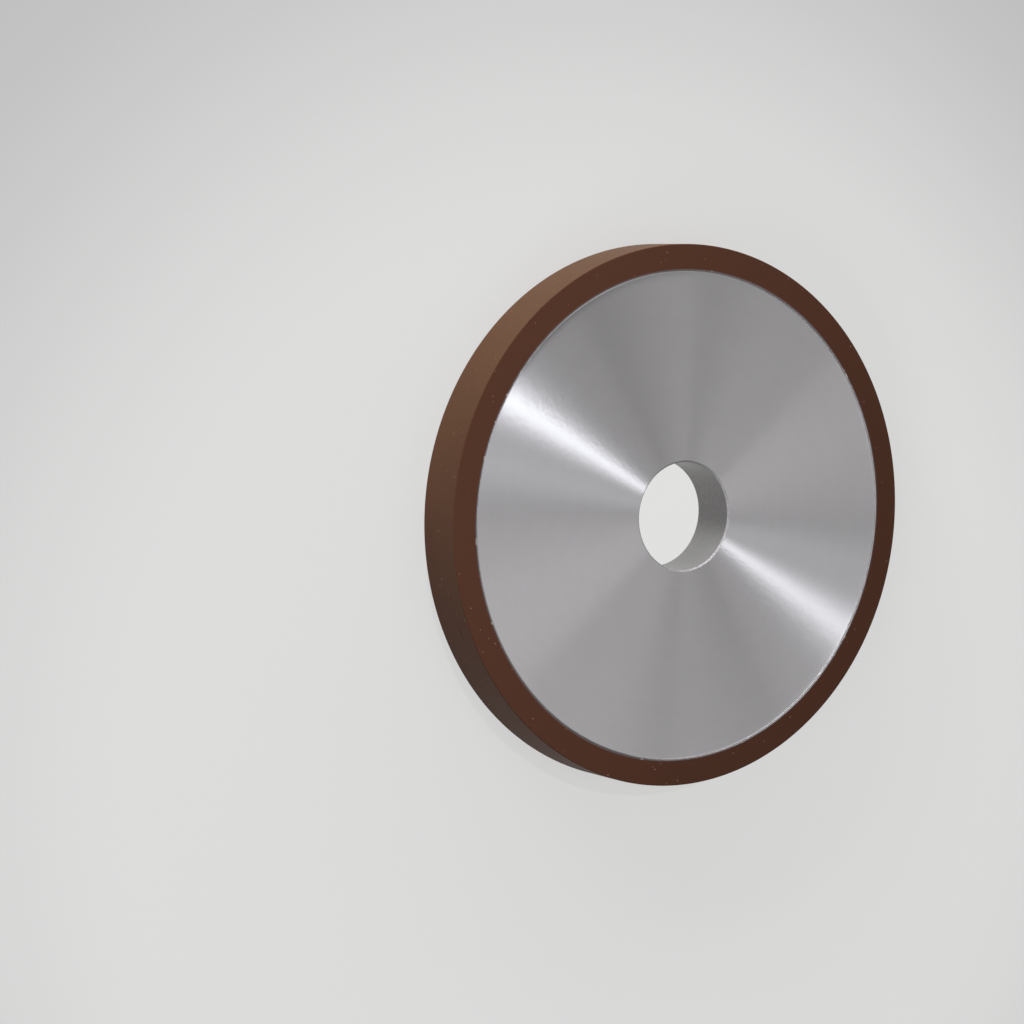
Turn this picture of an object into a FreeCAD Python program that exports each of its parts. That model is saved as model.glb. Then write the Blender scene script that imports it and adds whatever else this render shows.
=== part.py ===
import FreeCAD, Part
import os
import Sketcher

# Straight grinding wheel: a turned aluminium core with a diamond ring moulded round its edge.
# The wheel lies flat. Its axis is Z, and the origin is the centre of the bore at mid width.

# Driving dimensions in millimetres: alias, value, meaning
SIZES = [
    ("wheel_diameter", 100.0, "outside diameter of the diamond ring"),
    ("wheel_width", 10.0, "width of the diamond ring, along the axis"),
    ("rim_depth", 4.8, "radial depth of the diamond ring outside the core"),
    ("bore_diameter", 20.0, "arbor hole through the core"),
    ("face_recess", 0.2, "how far each core face lies below the ring's face"),
    ("bore_chamfer", 0.3, "chamfer at each end of the bore"),
    ("core_edge_round", 0.3, "round on the outer edge of each core face"),
    ("rim_edge_round", 0.15, "round on the outer edge of each ring face"),
    ("key_count", 3, "keying grooves round the core's edge"),
    ("key_spacing", 2.4, "distance from one keying groove to the next"),
    ("key_depth", 0.6, "radial depth of a keying groove"),
    ("key_mouth", 1.2, "width of a keying groove at the core's edge"),
    ("key_floor", 0.6, "width of a keying groove at its floor"),
]

# Worked out from the sheet, and used by both pieces
CORE_RADIUS = "sizes.wheel_diameter / 2 - sizes.rim_depth"
CORE_WIDTH = "sizes.wheel_width - 2 * sizes.face_recess"
TOP_KEY_EDGE = "(sizes.key_count - 1) * sizes.key_spacing / 2 + sizes.key_mouth / 2"

HORIZONTAL_AXIS = -1
ORIGIN = (-1, 1)
START = 1
END = 2


def make_sheet(doc):
    sheet = doc.addObject("Spreadsheet::Sheet", "sizes")
    for row, (alias, value, meaning) in enumerate(SIZES, start=1):
        sheet.set(f"A{row}", meaning)
        sheet.set(f"B{row}", str(value))
        sheet.setAlias(f"B{row}", alias)
    return sheet


def make_body(doc, label):
    body = doc.addObject("PartDesign::Body", label)
    body.Label = label
    body.Placement = FreeCAD.Placement()
    return body


def origin_feature(body, role):
    return next(item for item in body.Origin.OriginFeatures if item.Role == role)


def make_section(body, name):
    # A sketch in the plane through the axis: across is the radius, up is along the axis
    sketch = body.newObject("Sketcher::SketchObject", name)
    sketch.AttachmentSupport = (origin_feature(body, "XZ_Plane"), [""])
    sketch.MapMode = "FlatFace"
    return sketch


def add_outline(sketch, corners):
    # A closed outline of straight lines, joined end to start
    count = len(corners)
    for index, (across, up) in enumerate(corners):
        after, above = corners[(index + 1) % count]
        start = FreeCAD.Vector(across, up, 0)
        end = FreeCAD.Vector(after, above, 0)
        sketch.addGeometry(Part.LineSegment(start, end), False)
    for index in range(count):
        following = (index + 1) % count
        sketch.addConstraint(Sketcher.Constraint("Coincident", index, END, following, START))


def add_size(sketch, name, expression, kind, *places):
    # A named dimension, driven by the sheet
    start_value = sketch.evalExpression(expression)
    index = sketch.addConstraint(Sketcher.Constraint(kind, *places, float(start_value)))
    sketch.renameConstraint(index, name)
    sketch.setExpression(f"Constraints.{name}", expression)


def draw_ring_section(sketch, inner, outer, width):
    # A rectangle that stands evenly above and below the middle plane
    low, right, high, left = range(4)
    add_outline(sketch, [(10, -5), (40, -5), (40, 5), (10, 5)])
    for line in (low, high):
        sketch.addConstraint(Sketcher.Constraint("Horizontal", line))
    sketch.addConstraint(Sketcher.Constraint("Vertical", left))
    sketch.addConstraint(Sketcher.Constraint("Symmetric", right, START, right, END, HORIZONTAL_AXIS))
    add_size(sketch, "inner_radius", inner, "DistanceX", *ORIGIN, left, START)
    add_size(sketch, "outer_radius", outer, "DistanceX", *ORIGIN, right, START)
    add_size(sketch, "width", width, "DistanceY", right, START, right, END)


def draw_key_section(sketch):
    # The uppermost keying groove: wide at the core's edge, narrow at its floor
    mouth, upper_flank, floor, lower_flank = range(4)
    add_outline(sketch, [(45, 1), (45, 2), (44, 1.8), (44, 1.2)])
    for line in (mouth, floor):
        sketch.addConstraint(Sketcher.Constraint("Vertical", line))
    sketch.addConstraint(Sketcher.Constraint("Equal", upper_flank, lower_flank))
    add_size(sketch, "edge_radius", CORE_RADIUS, "DistanceX", *ORIGIN, mouth, START)
    add_size(sketch, "top_edge", TOP_KEY_EDGE, "DistanceY", *ORIGIN, mouth, END)
    add_size(sketch, "mouth", "sizes.key_mouth", "DistanceY", mouth, START, mouth, END)
    add_size(sketch, "floor", "sizes.key_floor", "DistanceY", floor, END, floor, START)
    add_size(sketch, "depth", "sizes.key_depth", "DistanceX", floor, START, mouth, START)


def turn(body, kind, name, sketch):
    # A full turn of a section about the wheel's axis
    feature = body.newObject(kind, name)
    feature.Profile = sketch
    feature.ReferenceAxis = (sketch, ["V_Axis"])
    feature.Angle = 360
    body.Document.recompute()
    return feature


def repeat_keys(body, feature):
    # The other keying grooves, one below the other
    pattern = body.newObject("PartDesign::LinearPattern", "keys")
    pattern.Originals = [feature]
    pattern.Direction = (origin_feature(body, "Z_Axis"), [""])
    pattern.Reversed = True
    pattern.Mode = "Spacing"
    pattern.setExpression("Offset", "sizes.key_spacing")
    pattern.setExpression("Occurrences", "sizes.key_count")
    body.Tip = pattern
    body.Document.recompute()
    return pattern


def face_edges(shape, radius):
    # The names of the two circles of this radius that lie on the outermost faces
    top = shape.BoundBox.ZMax
    names = []
    for number, edge in enumerate(shape.Edges, start=1):
        curve = edge.Curve
        if not isinstance(curve, Part.Circle):
            continue
        if abs(curve.Radius - radius) < 1e-6 and abs(abs(curve.Center.z) - top) < 1e-6:
            names.append(f"Edge{number}")
    return names


def break_edges(body, kind, name, radius, property_name, expression):
    # A chamfer or a round on both circles of one radius
    base = body.Tip
    feature = body.newObject(kind, name)
    feature.Base = (base, face_edges(base.Shape, radius))
    feature.setExpression(property_name, expression)
    body.Document.recompute()
    return feature


def make_core(doc, sheet):
    # Turned aluminium disc: plain faces, a chamfered bore and keying grooves round its edge
    body = make_body(doc, "aluminium_core")
    section = make_section(body, "disc_section")
    draw_ring_section(section, "sizes.bore_diameter / 2", CORE_RADIUS, CORE_WIDTH)
    turn(body, "PartDesign::Revolution", "disc", section)
    key_section = make_section(body, "groove_section")
    draw_key_section(key_section)
    groove = turn(body, "PartDesign::Groove", "keying_groove", key_section)
    repeat_keys(body, groove)
    bore_radius = sheet.bore_diameter / 2
    core_radius = sheet.wheel_diameter / 2 - sheet.rim_depth
    break_edges(body, "PartDesign::Chamfer", "bore_chamfers", bore_radius, "Size", "sizes.bore_chamfer")
    break_edges(body, "PartDesign::Fillet", "edge_rounds", core_radius, "Radius", "sizes.core_edge_round")
    return body


def make_rim(doc, sheet):
    # Resin bond diamond ring, moulded on the core: its ribs fill the core's keying grooves
    body = make_body(doc, "diamond_rim")
    section = make_section(body, "ring_section")
    draw_ring_section(section, CORE_RADIUS, "sizes.wheel_diameter / 2", "sizes.wheel_width")
    turn(body, "PartDesign::Revolution", "ring", section)
    key_section = make_section(body, "rib_section")
    draw_key_section(key_section)
    rib = turn(body, "PartDesign::Revolution", "keying_rib", key_section)
    repeat_keys(body, rib)
    wheel_radius = sheet.wheel_diameter / 2
    break_edges(body, "PartDesign::Fillet", "edge_rounds", wheel_radius, "Radius", "sizes.rim_edge_round")
    return body


def check(doc, bodies):
    for item in doc.Objects:
        if "Invalid" in item.State or "Error" in item.State:
            raise RuntimeError(f"{item.Name} did not build: {item.State}")
    for body in bodies:
        if body.Shape.isNull() or not body.Shape.isValid():
            raise RuntimeError(f"{body.Label} has no sound shape")


def main():
    doc = FreeCAD.newDocument("diamond_wheel")
    sheet = make_sheet(doc)
    doc.recompute()
    bodies = [make_core(doc, sheet), make_rim(doc, sheet)]
    doc.recompute()
    check(doc, bodies)
    os.makedirs("parts", exist_ok=True)
    for body in bodies:
        body.Shape.exportStep(f"parts/{body.Label}.step")
        print(body.Label, len(body.Shape.Solids), round(body.Shape.Volume, 3))


main()
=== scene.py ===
import math

import bmesh
import bpy
from mathutils import Matrix, Vector


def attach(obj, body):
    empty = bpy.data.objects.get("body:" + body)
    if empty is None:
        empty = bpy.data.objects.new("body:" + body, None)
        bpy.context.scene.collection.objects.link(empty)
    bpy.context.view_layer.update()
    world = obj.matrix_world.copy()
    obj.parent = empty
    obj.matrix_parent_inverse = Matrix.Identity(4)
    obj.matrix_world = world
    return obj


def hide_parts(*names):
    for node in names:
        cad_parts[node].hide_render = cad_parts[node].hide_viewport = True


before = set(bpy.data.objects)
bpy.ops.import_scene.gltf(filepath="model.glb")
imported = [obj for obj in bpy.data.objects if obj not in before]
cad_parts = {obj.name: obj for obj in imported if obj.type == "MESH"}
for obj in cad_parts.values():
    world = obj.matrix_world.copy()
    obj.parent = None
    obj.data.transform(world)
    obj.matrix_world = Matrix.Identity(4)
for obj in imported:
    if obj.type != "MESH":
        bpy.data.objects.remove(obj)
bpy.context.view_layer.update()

# The looks of a resin bond diamond wheel: a turned aluminium core in a brown diamond ring.
# It lies flat with its axis along Z, and is seen from above and to one side.

MM = 0.001
SEGMENTS = 720
SHARP_ANGLE = 30.0

# Wheel, in millimetres
WHEEL_RADIUS = 50.0
CORE_RADIUS = 45.2
BORE_RADIUS = 10.0
RING_HALF_WIDTH = 5.0
CORE_HALF_WIDTH = 4.8
BORE_CHAMFER = 0.3
CORE_EDGE_ROUND = 0.3
RING_EDGE_ROUND = 0.15
KEY_LEVELS = (2.4, 0.0, -2.4)
KEY_DEPTH = 0.6
KEY_HALF_MOUTH = 0.6
KEY_HALF_FLOOR = 0.3

# Distances from the axis between which one tone gives way to another, in metres: the painted shade
# beside the core, and the start of the grinding edge's painted light and shade
# Painted shade on the ring beside the core
PAINTED_SHADE_LINE = (0.04528, 0.04552)
# Where the grinding edge's painted light and shade begin
PAINTED_EDGE_TONE_FROM = (0.04985, 0.04995)

# Directions in which painted light and shade change over the wheel, and where along each they do,
# in metres
# Painted reflection on the bore wall
PAINTED_REFLECTION_BORE = ((0.259, -0.966, 0.0), 0.0030, 0.0088)
# Painted highlight and shade on the core's edge
PAINTED_HIGHLIGHT_BORDER = ((-0.985, -0.174, 0.0), 0.0270, 0.0090)
# Painted light on the ring's face
PAINTED_LIGHT_RING = ((-0.87, 0.50, 0.0), -0.044, 0.060)
# Painted light and shade on the grinding edge
PAINTED_LIGHT_AND_SHADE_EDGE = ((-0.20, 0.98, 0.0), -0.012, 0.067)

# The dark patch of painted shade on the ring's edge: its centre, and how sharply it ends each way
PAINTED_SHADE_PATCH_CENTRE = (-0.0459, -0.0198, 0.0016)
PAINTED_SHADE_PATCH_SQUEEZE = (450.0, 450.0, 1500.0)

# Floor: radius of its wall and of the bend below it, and the wall's height, in millimetres
FLOOR_WALL = 3600.0
FLOOR_BEND = 400.0
FLOOR_WALL_TOP = 700.0

# The floor's painted pool of light, lighter near the wheel and darker further off, and the part
# seen through the bore, painted lighter still so that the hole shows no shade, in metres
PAINTED_LIGHT_POOL_CENTRE = (-0.010, -0.045, 0.0)
PAINTED_LIGHT_POOL_EDGE = (0.095, 0.190)
UNDER_BORE = 0.025

# Camera: the wheel's axis as the camera sees it, and where the front face's centre lies from it
AXIS_SEEN = Vector((0.5375, -0.0727, 0.84012))
FACE_CENTRE_SEEN = Vector((0.031865, -0.000805, -0.55254))
LENS = 105.469
SENSOR = 36.0

WHITE = (1.0, 1.0, 1.0)
COOL = (0.91, 0.95, 1.0)
WORLD_LEVEL = 0.22

# Lamps: name, compass angle and height above the floor in degrees, size in metres, level and colour
LAMP_DISTANCE = 1.5
LAMPS = [
    ("overhead", 118.6, 10.0, (1.26, 0.45), 1.25, WHITE),
    ("overhead_right", 73.4, 10.0, (1.17, 0.30), 0.45, WHITE),
    ("front_left", 215.8, 30.0, (1.69, 0.42), 0.50, WHITE),
    ("front_right", 320.0, 63.9, (0.96, 1.03), 0.10, WHITE),
    ("key", 100.7, 72.8, (0.03, 0.03), 0.175, COOL),
    ("key_glow", 144.9, 77.8, (0.14, 0.515), 0.045, COOL),
]


# Shapes

def arc(centre, radius, start, end, steps):
    # Points of a round in the section, from one angle in degrees to another
    points = []
    for step in range(steps + 1):
        angle = math.radians(start + (end - start) * step / steps)
        across, up = radius * math.cos(angle), radius * math.sin(angle)
        points.append((centre[0] + across, centre[1] + up))
    return points


def run(start, end, lead=0.06):
    # A straight run of the section, with a point close to each end that keeps its shading flat
    length = math.dist(start, end)
    across = (end[0] - start[0]) / length
    up = (end[1] - start[1]) / length
    near = (start[0] + across * lead, start[1] + up * lead)
    far = (end[0] - across * lead, end[1] - up * lead)
    return [near, far]


def key_points():
    # The keying grooves' outline at the core's edge, from the upper to the lower
    points = []
    for level in KEY_LEVELS:
        points += [
            (CORE_RADIUS, level + KEY_HALF_MOUTH),
            (CORE_RADIUS - KEY_DEPTH, level + KEY_HALF_FLOOR),
            (CORE_RADIUS - KEY_DEPTH, level - KEY_HALF_FLOOR),
            (CORE_RADIUS, level - KEY_HALF_MOUTH),
        ]
    return points


# A section is a closed list of strips: which material each has, and its points. A strip ends where
# the next one starts.

def core_section():
    face, edge, chamfer, wall = 0, 1, 2, 3
    bore, rim, half = BORE_RADIUS, CORE_RADIUS, CORE_HALF_WIDTH
    upper, lower = (bore, half - BORE_CHAMFER), (bore, BORE_CHAMFER - half)
    inside, outside = bore + BORE_CHAMFER, rim - CORE_EDGE_ROUND
    bend = half - CORE_EDGE_ROUND
    return [
        (wall, [upper] + run(upper, lower)),
        (chamfer, [lower]),
        (face, [(inside, -half)] + run((inside, -half), (outside, -half))),
        (edge, arc((outside, -bend), CORE_EDGE_ROUND, -90, 0, 6)),
        (wall, key_points()[::-1]),
        (edge, arc((outside, bend), CORE_EDGE_ROUND, 0, 90, 6)[:-1]),
        (face, [(outside, half)] + run((outside, half), (inside, half))),
        (chamfer, [(inside, half)]),
    ]


def ring_section():
    resin, edge = 0, 1
    inner, outer, half = CORE_RADIUS, WHEEL_RADIUS, RING_HALF_WIDTH
    shoulder, bend = outer - RING_EDGE_ROUND, half - RING_EDGE_ROUND
    points = [(inner, -half)]
    points += run((inner, -half), (shoulder, -half))
    points += arc((shoulder, -bend), RING_EDGE_ROUND, -90, 0, 5)
    points += run((outer, -bend), (outer, bend))
    points += arc((shoulder, bend), RING_EDGE_ROUND, 0, 90, 5)
    points += run((shoulder, half), (inner, half))
    keys = key_points()
    return [(resin, points), (edge, [(inner, half)]), (resin, keys[:-1]), (edge, keys[-1:])]


def turn_mesh(name, strips, closed):
    # A section turned about Z, smooth but for its corners
    shape = bmesh.new()
    rings = []
    finishes = []
    for finish, points in strips:
        for radius, height in points:
            ring = []
            for step in range(SEGMENTS):
                angle = 2 * math.pi * step / SEGMENTS
                place = (radius * math.cos(angle) * MM, radius * math.sin(angle) * MM, height * MM)
                ring.append(shape.verts.new(place))
            rings.append(ring)
            finishes.append(finish)
    count = len(rings)
    for index in range(count if closed else count - 1):
        this, after = rings[index], rings[(index + 1) % count]
        for step in range(SEGMENTS):
            following = (step + 1) % SEGMENTS
            face = shape.faces.new((this[step], this[following], after[following], after[step]))
            face.material_index = finishes[index]
            face.smooth = True
    bmesh.ops.remove_doubles(shape, verts=shape.verts, dist=1e-9)
    bmesh.ops.recalc_face_normals(shape, faces=shape.faces)
    for edge in shape.edges:
        edge.smooth = edge.calc_face_angle(0.0) < math.radians(SHARP_ANGLE)
    mesh = bpy.data.meshes.new(name)
    shape.to_mesh(mesh)
    shape.free()
    return mesh


def add_object(name, mesh, materials):
    for material in materials:
        mesh.materials.append(material)
    piece = bpy.data.objects.new(name, mesh)
    bpy.context.scene.collection.objects.link(piece)
    return piece


def add_part(name, section, node, materials):
    piece = add_object(name, turn_mesh(name, section, closed=True), materials)
    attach(piece, "root")
    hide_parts(node)


# Materials

def rgb(red, green, blue):
    return (red, green, blue, 1.0)


class Nodes:
    # Short names for making and joining a material's nodes
    def __init__(self, tree):
        self.tree = tree
        tree.nodes.clear()

    def add(self, kind, inputs=None, **settings):
        node = self.tree.nodes.new(kind)
        for name, value in settings.items():
            setattr(node, name, value)
        for key, value in (inputs or {}).items():
            if isinstance(value, bpy.types.NodeSocket):
                self.tree.links.new(value, node.inputs[key])
            else:
                node.inputs[key].default_value = value
        return node

    def place(self):
        return self.add("ShaderNodeTexCoord").outputs["Object"]

    def math(self, operation, *values, clamp=False):
        inputs = dict(enumerate(values))
        return self.add("ShaderNodeMath", inputs, operation=operation, use_clamp=clamp).outputs[0]

    def vector(self, operation, *values):
        # A length, a distance or a dot product comes out as a number, and the rest as a vector
        node = self.add("ShaderNodeVectorMath", dict(enumerate(values)), operation=operation)
        number = operation in ("LENGTH", "DISTANCE", "DOT_PRODUCT")
        return node.outputs["Value" if number else "Vector"]

    def range(self, value, low, high, to_low=0.0, to_high=1.0):
        inputs = {"Value": value, "From Min": low, "From Max": high}
        inputs.update({"To Min": to_low, "To Max": to_high})
        node = self.add("ShaderNodeMapRange", inputs, interpolation_type="SMOOTHSTEP")
        return node.outputs[0]

    def one_side(self, direction, low, high, clouds=0.0):
        # From 0 to 1 with the distance from the axis towards one side of the wheel
        reach = self.vector("DOT_PRODUCT", self.place(), direction)
        return self.range(self.math("ADD", reach, clouds), low, high)

    def mix(self, factor, first, second):
        node = self.add("ShaderNodeMix", {0: factor, 6: first, 7: second}, data_type="RGBA")
        return node.outputs[2]

    def noise(self, vector, scale, detail=2.0, roughness=0.5):
        inputs = {"Vector": vector, "Scale": scale, "Detail": detail, "Roughness": roughness}
        return self.add("ShaderNodeTexNoise", inputs).outputs["Fac"]

    def bump(self, height, distance, strength=1.0):
        inputs = {"Height": height, "Distance": distance, "Strength": strength}
        return self.add("ShaderNodeBump", inputs).outputs[0]


def new_material(name):
    material = bpy.data.materials.new(name)
    material.use_nodes = True
    nodes = Nodes(material.node_tree)
    output = nodes.add("ShaderNodeOutputMaterial")
    return material, nodes, output


def finish_with(nodes, output, inputs):
    shader = nodes.add("ShaderNodeBsdfPrincipled", inputs)
    nodes.tree.links.new(shader.outputs[0], output.inputs["Surface"])


def turned_coordinates(nodes, around):
    # Coordinates that are stretched along the turning marks, one unit to a millimetre across them
    place = nodes.place()
    flat = nodes.vector("MULTIPLY", place, (1.0, 1.0, 0.0))
    turn = nodes.vector("MULTIPLY", nodes.vector("NORMALIZE", flat), (around, around, around))
    height = nodes.add("ShaderNodeSeparateXYZ", {0: place}).outputs[2]
    across = nodes.math("ADD", nodes.vector("LENGTH", flat), height)
    depth = nodes.math("MULTIPLY", across, 1.0 / MM)
    shift = nodes.add("ShaderNodeCombineXYZ", {0: 0.0, 1: 0.0, 2: depth}).outputs[0]
    return nodes.vector("ADD", turn, shift)


def make_turned_face():
    # Turning marks too fine to see one by one, which draw a highlight out into a streak from the
    # centre
    material, nodes, output = new_material("turned_aluminium")
    stretched = turned_coordinates(nodes, 9.0)
    marks = nodes.noise(stretched, 3.0, roughness=0.6)
    tone = nodes.range(nodes.noise(stretched, 0.55), 0.3, 0.7)
    finish_with(nodes, output, {
        "Base Color": nodes.mix(tone, rgb(0.624, 0.608, 0.620), rgb(0.634, 0.618, 0.630)),
        "Metallic": 1.0,
        "Roughness": 0.31,
        "Anisotropic": 1.0,
        "Anisotropic Rotation": 0.25,
        "Tangent": nodes.add("ShaderNodeTangent", direction_type="RADIAL", axis="Z").outputs[0],
        "Normal": nodes.bump(marks, 0.000012),
    })
    return material


def make_plain_metal(name, around, scale, dark, light, roughness, painted_light_side=None):
    # Aluminium whose marks are too coarse or too worn to draw a streak
    material, nodes, output = new_material(name)
    marks = nodes.noise(turned_coordinates(nodes, around), scale, detail=3.0, roughness=0.6)
    tone = nodes.range(marks, 0.35, 0.65)
    # When asked, lighter towards one side: painted light
    if painted_light_side:
        side = nodes.math("MULTIPLY", nodes.one_side(*painted_light_side), 0.8)
        tone = nodes.math("MULTIPLY_ADD", tone, 0.2, side)
    finish_with(nodes, output, {
        "Base Color": nodes.mix(tone, dark, light),
        "Metallic": 1.0,
        "Roughness": nodes.range(marks, 0.3, 0.7, *roughness),
        "Normal": nodes.bump(marks, 0.000003, strength=0.4),
    })
    return material


def make_edge_wear_and_painted_highlight():
    # The core's rounded edge and the metal smeared on the ring beside it. Lighter towards one side
    # and duller towards the other, which is painted highlight and shade.
    dark, light = rgb(0.34, 0.33, 0.335), rgb(0.70, 0.69, 0.70)
    return make_plain_metal("edge_wear_and_painted_highlight", 40.0, 0.9, dark, light, (0.54, 0.44), PAINTED_HIGHLIGHT_BORDER)


def make_chamfer():
    # Duller and darker than the faces
    dark, light = rgb(0.33, 0.32, 0.33), rgb(0.40, 0.39, 0.40)
    return make_plain_metal("chamfer", 20.0, 1.5, dark, light, (0.75, 0.65))


def make_bored_wall():
    # Darker still, with marks that run round the hole, and lighter towards one side, which is a
    # painted reflection
    dark, light = rgb(0.168, 0.164, 0.165), rgb(0.390, 0.384, 0.388)
    return make_plain_metal("bored_wall", 6.0, 3.0, dark, light, (0.32, 0.40), PAINTED_REFLECTION_BORE)


def resin_tone(nodes, place, radius):
    # Cloudy, and lighter towards one side, which is painted light. The grinding edge has a tone of
    # its own, lighter towards one side and darker towards the other, which is painted light and
    # shade.
    clouds = nodes.math("MULTIPLY", nodes.noise(place, 120.0, detail=3.0), 0.016)
    # Painted light: the ring's face lighter towards one side, in the tone of the moulded face
    painted_light_on_ring = nodes.one_side(*PAINTED_LIGHT_RING, clouds)
    moulded = nodes.mix(painted_light_on_ring, rgb(0.0560, 0.0208, 0.0112), rgb(0.0840, 0.0320, 0.0182))
    # Painted light and shade: the grinding edge lighter towards one side and darker towards the
    # other
    painted_light_and_shade_on_edge = nodes.one_side(*PAINTED_LIGHT_AND_SHADE_EDGE, clouds)
    edge_with_painted_light_and_shade = nodes.mix(painted_light_and_shade_on_edge, rgb(0.0430, 0.0155, 0.0076), rgb(0.0880, 0.0405, 0.0195))
    return nodes.mix(nodes.range(radius, *PAINTED_EDGE_TONE_FROM), moulded, edge_with_painted_light_and_shade)


def add_specks(nodes, place, grain, base):
    # Light and dark grain, and sparse specks that are pale or orange
    base = nodes.mix(nodes.range(grain, 0.64, 0.80, 0.0, 0.22), base, rgb(0.17, 0.085, 0.050))
    base = nodes.mix(nodes.range(grain, 0.36, 0.22, 0.0, 0.30), base, rgb(0.030, 0.010, 0.007))
    cells = nodes.add("ShaderNodeTexVoronoi", {"Vector": place, "Scale": 600.0})
    chance = nodes.add("ShaderNodeSeparateColor", {0: cells.outputs["Color"]})
    chosen = nodes.math("GREATER_THAN", chance.outputs[0], 0.4)
    size = nodes.range(cells.outputs["Distance"], 0.11, 0.05, 0.0, 0.55)
    colour = nodes.mix(chance.outputs[1], rgb(0.27, 0.115, 0.055), rgb(0.33, 0.24, 0.19))
    return nodes.mix(nodes.math("MULTIPLY", size, chosen), base, colour)


def add_painted_shade_line(nodes, place, radius, base):
    # The grey line where the ring meets the core, which is painted shade between the two parts,
    # with a few bright crumbs of metal
    gap_shade = nodes.range(radius, *PAINTED_SHADE_LINE, 0.85, 0.0)
    base = nodes.mix(gap_shade, base, rgb(0.125, 0.104, 0.106))
    crumbs = nodes.range(nodes.noise(place, 900.0), 0.64, 0.72)
    return nodes.mix(nodes.math("MULTIPLY", crumbs, gap_shade), base, rgb(0.45, 0.40, 0.38))


def add_painted_shade_patch(nodes, place, base):
    # A dark patch of painted shade on the edge
    offset = nodes.vector("SUBTRACT", place, PAINTED_SHADE_PATCH_CENTRE)
    reach = nodes.vector("LENGTH", nodes.vector("MULTIPLY", offset, PAINTED_SHADE_PATCH_SQUEEZE))
    reach = nodes.math("MULTIPLY_ADD", nodes.noise(place, 900.0), 0.8, reach)
    return nodes.mix(nodes.range(reach, 1.3, 0.7, 0.0, 0.85), base, rgb(0.030, 0.005, 0.004))


def make_resin():
    # Matt brown resin with diamond grit
    material, nodes, output = new_material("resin_bond")
    place = nodes.place()
    radius = nodes.vector("LENGTH", nodes.vector("MULTIPLY", place, (1.0, 1.0, 0.0)))
    grain = nodes.noise(place, 4200.0, detail=2.0, roughness=0.6)
    base = resin_tone(nodes, place, radius)
    base = add_specks(nodes, place, grain, base)
    base = add_painted_shade_line(nodes, place, radius, base)
    base = add_painted_shade_patch(nodes, place, base)
    finish_with(nodes, output, {
        "Base Color": base,
        "Roughness": nodes.range(grain, 0.3, 0.7, 0.62, 0.50),
        "Specular IOR Level": 0.08,
        "Sheen Weight": 0.045,
        "Sheen Roughness": 0.4,
        "Sheen Tint": rgb(1.0, 0.92, 0.72),
        "Normal": nodes.bump(grain, 0.00004, strength=0.25),
    })
    return material


# Stage

def make_paper():
    # Pale paper. The eye and the metal see most of its own tone and part of its light and shade, so
    # that it keeps the wheel's shadow.
    material, nodes, output = new_material("floor")
    place = nodes.place()
    # Painted pool of light: lighter near the wheel, darker further off
    reach = nodes.range(nodes.vector("DISTANCE", place, PAINTED_LIGHT_POOL_CENTRE), *PAINTED_LIGHT_POOL_EDGE)
    floor_with_painted_light_pool = nodes.mix(reach, rgb(0.723, 0.721, 0.714), rgb(0.515, 0.515, 0.514))
    # Painted light: beneath the bore the floor is lighter and shows mostly its own tone, so that
    # the hole shows no shade
    under = nodes.math("LESS_THAN", nodes.vector("LENGTH", place), UNDER_BORE)
    tone = nodes.mix(under, floor_with_painted_light_pool, rgb(0.765, 0.765, 0.75))
    paper = nodes.add("ShaderNodeBsdfDiffuse", {"Color": floor_with_painted_light_pool}).outputs[0]
    glow = nodes.add("ShaderNodeEmission", {"Color": tone, "Strength": 1.0}).outputs[0]
    path = nodes.add("ShaderNodeLightPath").outputs
    mirrored = nodes.math("ADD", path["Is Glossy Ray"], path["Is Transmission Ray"])
    seen = nodes.math("ADD", path["Is Camera Ray"], mirrored, clamp=True)
    share = nodes.math("MULTIPLY", seen, nodes.math("MULTIPLY_ADD", under, 0.25, 0.72))
    shader = nodes.add("ShaderNodeMixShader", {0: share, 1: paper, 2: glow})
    nodes.tree.links.new(shader.outputs[0], output.inputs["Surface"])
    return material


def make_floor():
    # A level sheet that curves up far behind the lamps
    level = -RING_HALF_WIDTH
    flat_end = FLOOR_WALL - FLOOR_BEND
    profile = [(0.0, level), (flat_end, level)]
    profile += arc((flat_end, level + FLOOR_BEND), FLOOR_BEND, -80, 0, 8)
    profile.append((FLOOR_WALL, level + FLOOR_WALL_TOP))
    mesh = turn_mesh("floor", [(0, profile)], closed=False)
    add_object("floor", mesh, [make_paper()])


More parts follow.
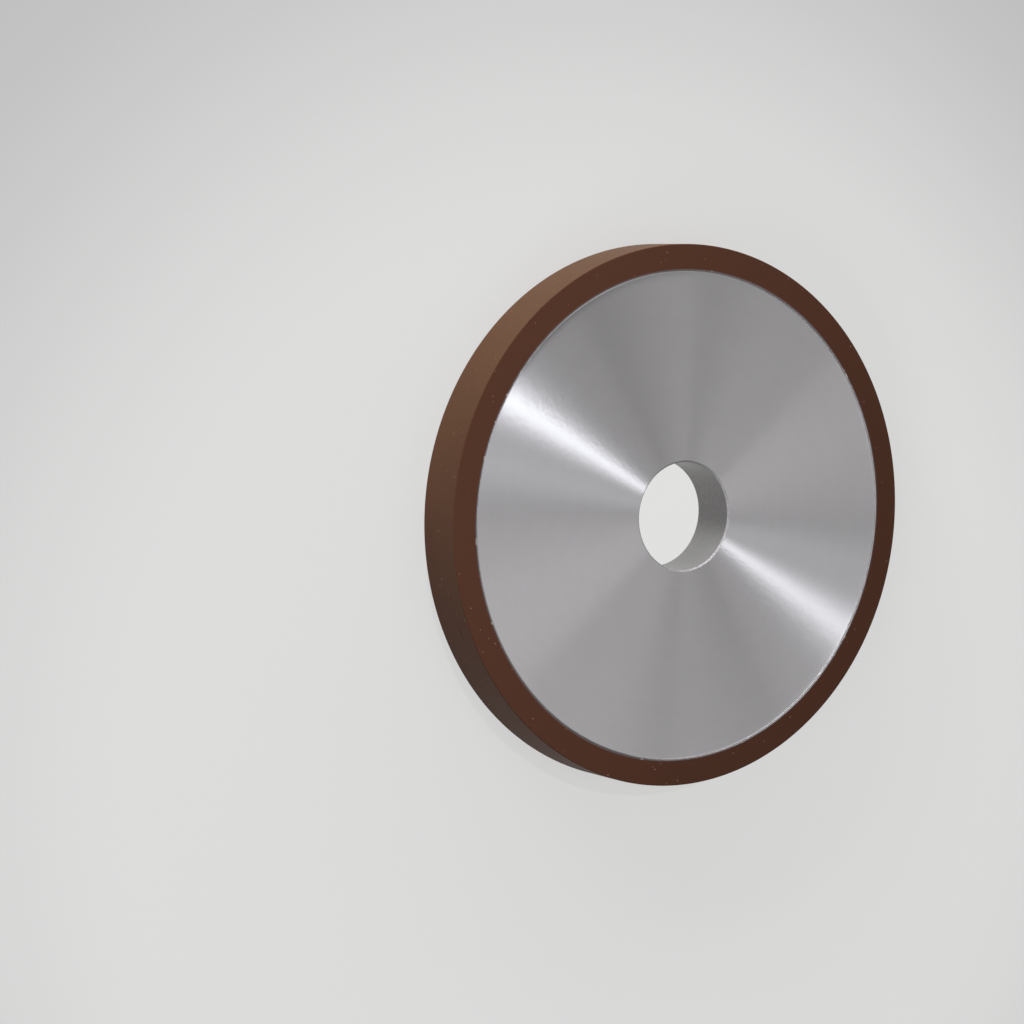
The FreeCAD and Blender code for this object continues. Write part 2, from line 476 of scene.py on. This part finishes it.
def make_world():
    world = bpy.data.worlds.new("studio")
    bpy.context.scene.world = world
    world.use_nodes = True
    nodes = Nodes(world.node_tree)
    output = nodes.add("ShaderNodeOutputWorld")
    inputs = {"Color": (*WHITE, 1.0), "Strength": WORLD_LEVEL}
    light = nodes.add("ShaderNodeBackground", inputs)
    nodes.tree.links.new(light.outputs[0], output.inputs["Surface"])


def aim_from(turn, height):
    turn, height = math.radians(turn), math.radians(height)
    level = math.cos(height)
    return Vector((level * math.cos(turn), level * math.sin(turn), math.sin(height)))


def make_lights():
    # Rectangular lamps aimed at the wheel; a level is what a lamp adds to a white surface facing it
    for name, turn, height, size, level, colour in LAMPS:
        lamp = bpy.data.lights.new(name, "AREA")
        lamp.shape = "RECTANGLE"
        lamp.size, lamp.size_y = size
        lamp.energy = level * math.pi ** 2 * LAMP_DISTANCE ** 2
        lamp.color = colour
        holder = bpy.data.objects.new(name, lamp)
        aim = aim_from(turn, height)
        holder.location = aim * LAMP_DISTANCE
        holder.rotation_euler = aim.to_track_quat("Z", "Y").to_euler()
        holder.visible_camera = False
        bpy.context.scene.collection.objects.link(holder)


def make_camera():
    # Turned so that the wheel's axis points as the photo shows it, then put back by the measured
    # distance
    up = Vector((0.0, 0.0, 1.0))
    tilt = up.rotation_difference(AXIS_SEEN).to_matrix().inverted()
    data = bpy.data.cameras.new("camera")
    data.sensor_width = SENSOR
    data.lens = LENS
    data.clip_start = 0.01
    data.clip_end = 20.0
    camera = bpy.data.objects.new("camera", data)
    place = up * RING_HALF_WIDTH * MM - tilt @ FACE_CENTRE_SEEN
    camera.matrix_world = Matrix.Translation(place) @ tilt.to_4x4()
    bpy.context.scene.collection.objects.link(camera)
    bpy.context.scene.camera = camera


edge_wear_and_painted_highlight = make_edge_wear_and_painted_highlight()
core_finishes = [make_turned_face(), edge_wear_and_painted_highlight, make_chamfer(), make_bored_wall()]
ring_finishes = [make_resin(), edge_wear_and_painted_highlight]
add_part("core_turned", core_section(), "aluminium_core", core_finishes)
add_part("ring_moulded", ring_section(), "diamond_rim", ring_finishes)
make_floor()
make_world()
make_lights()
make_camera()
bpy.context.scene.view_settings.view_transform = "Standard"
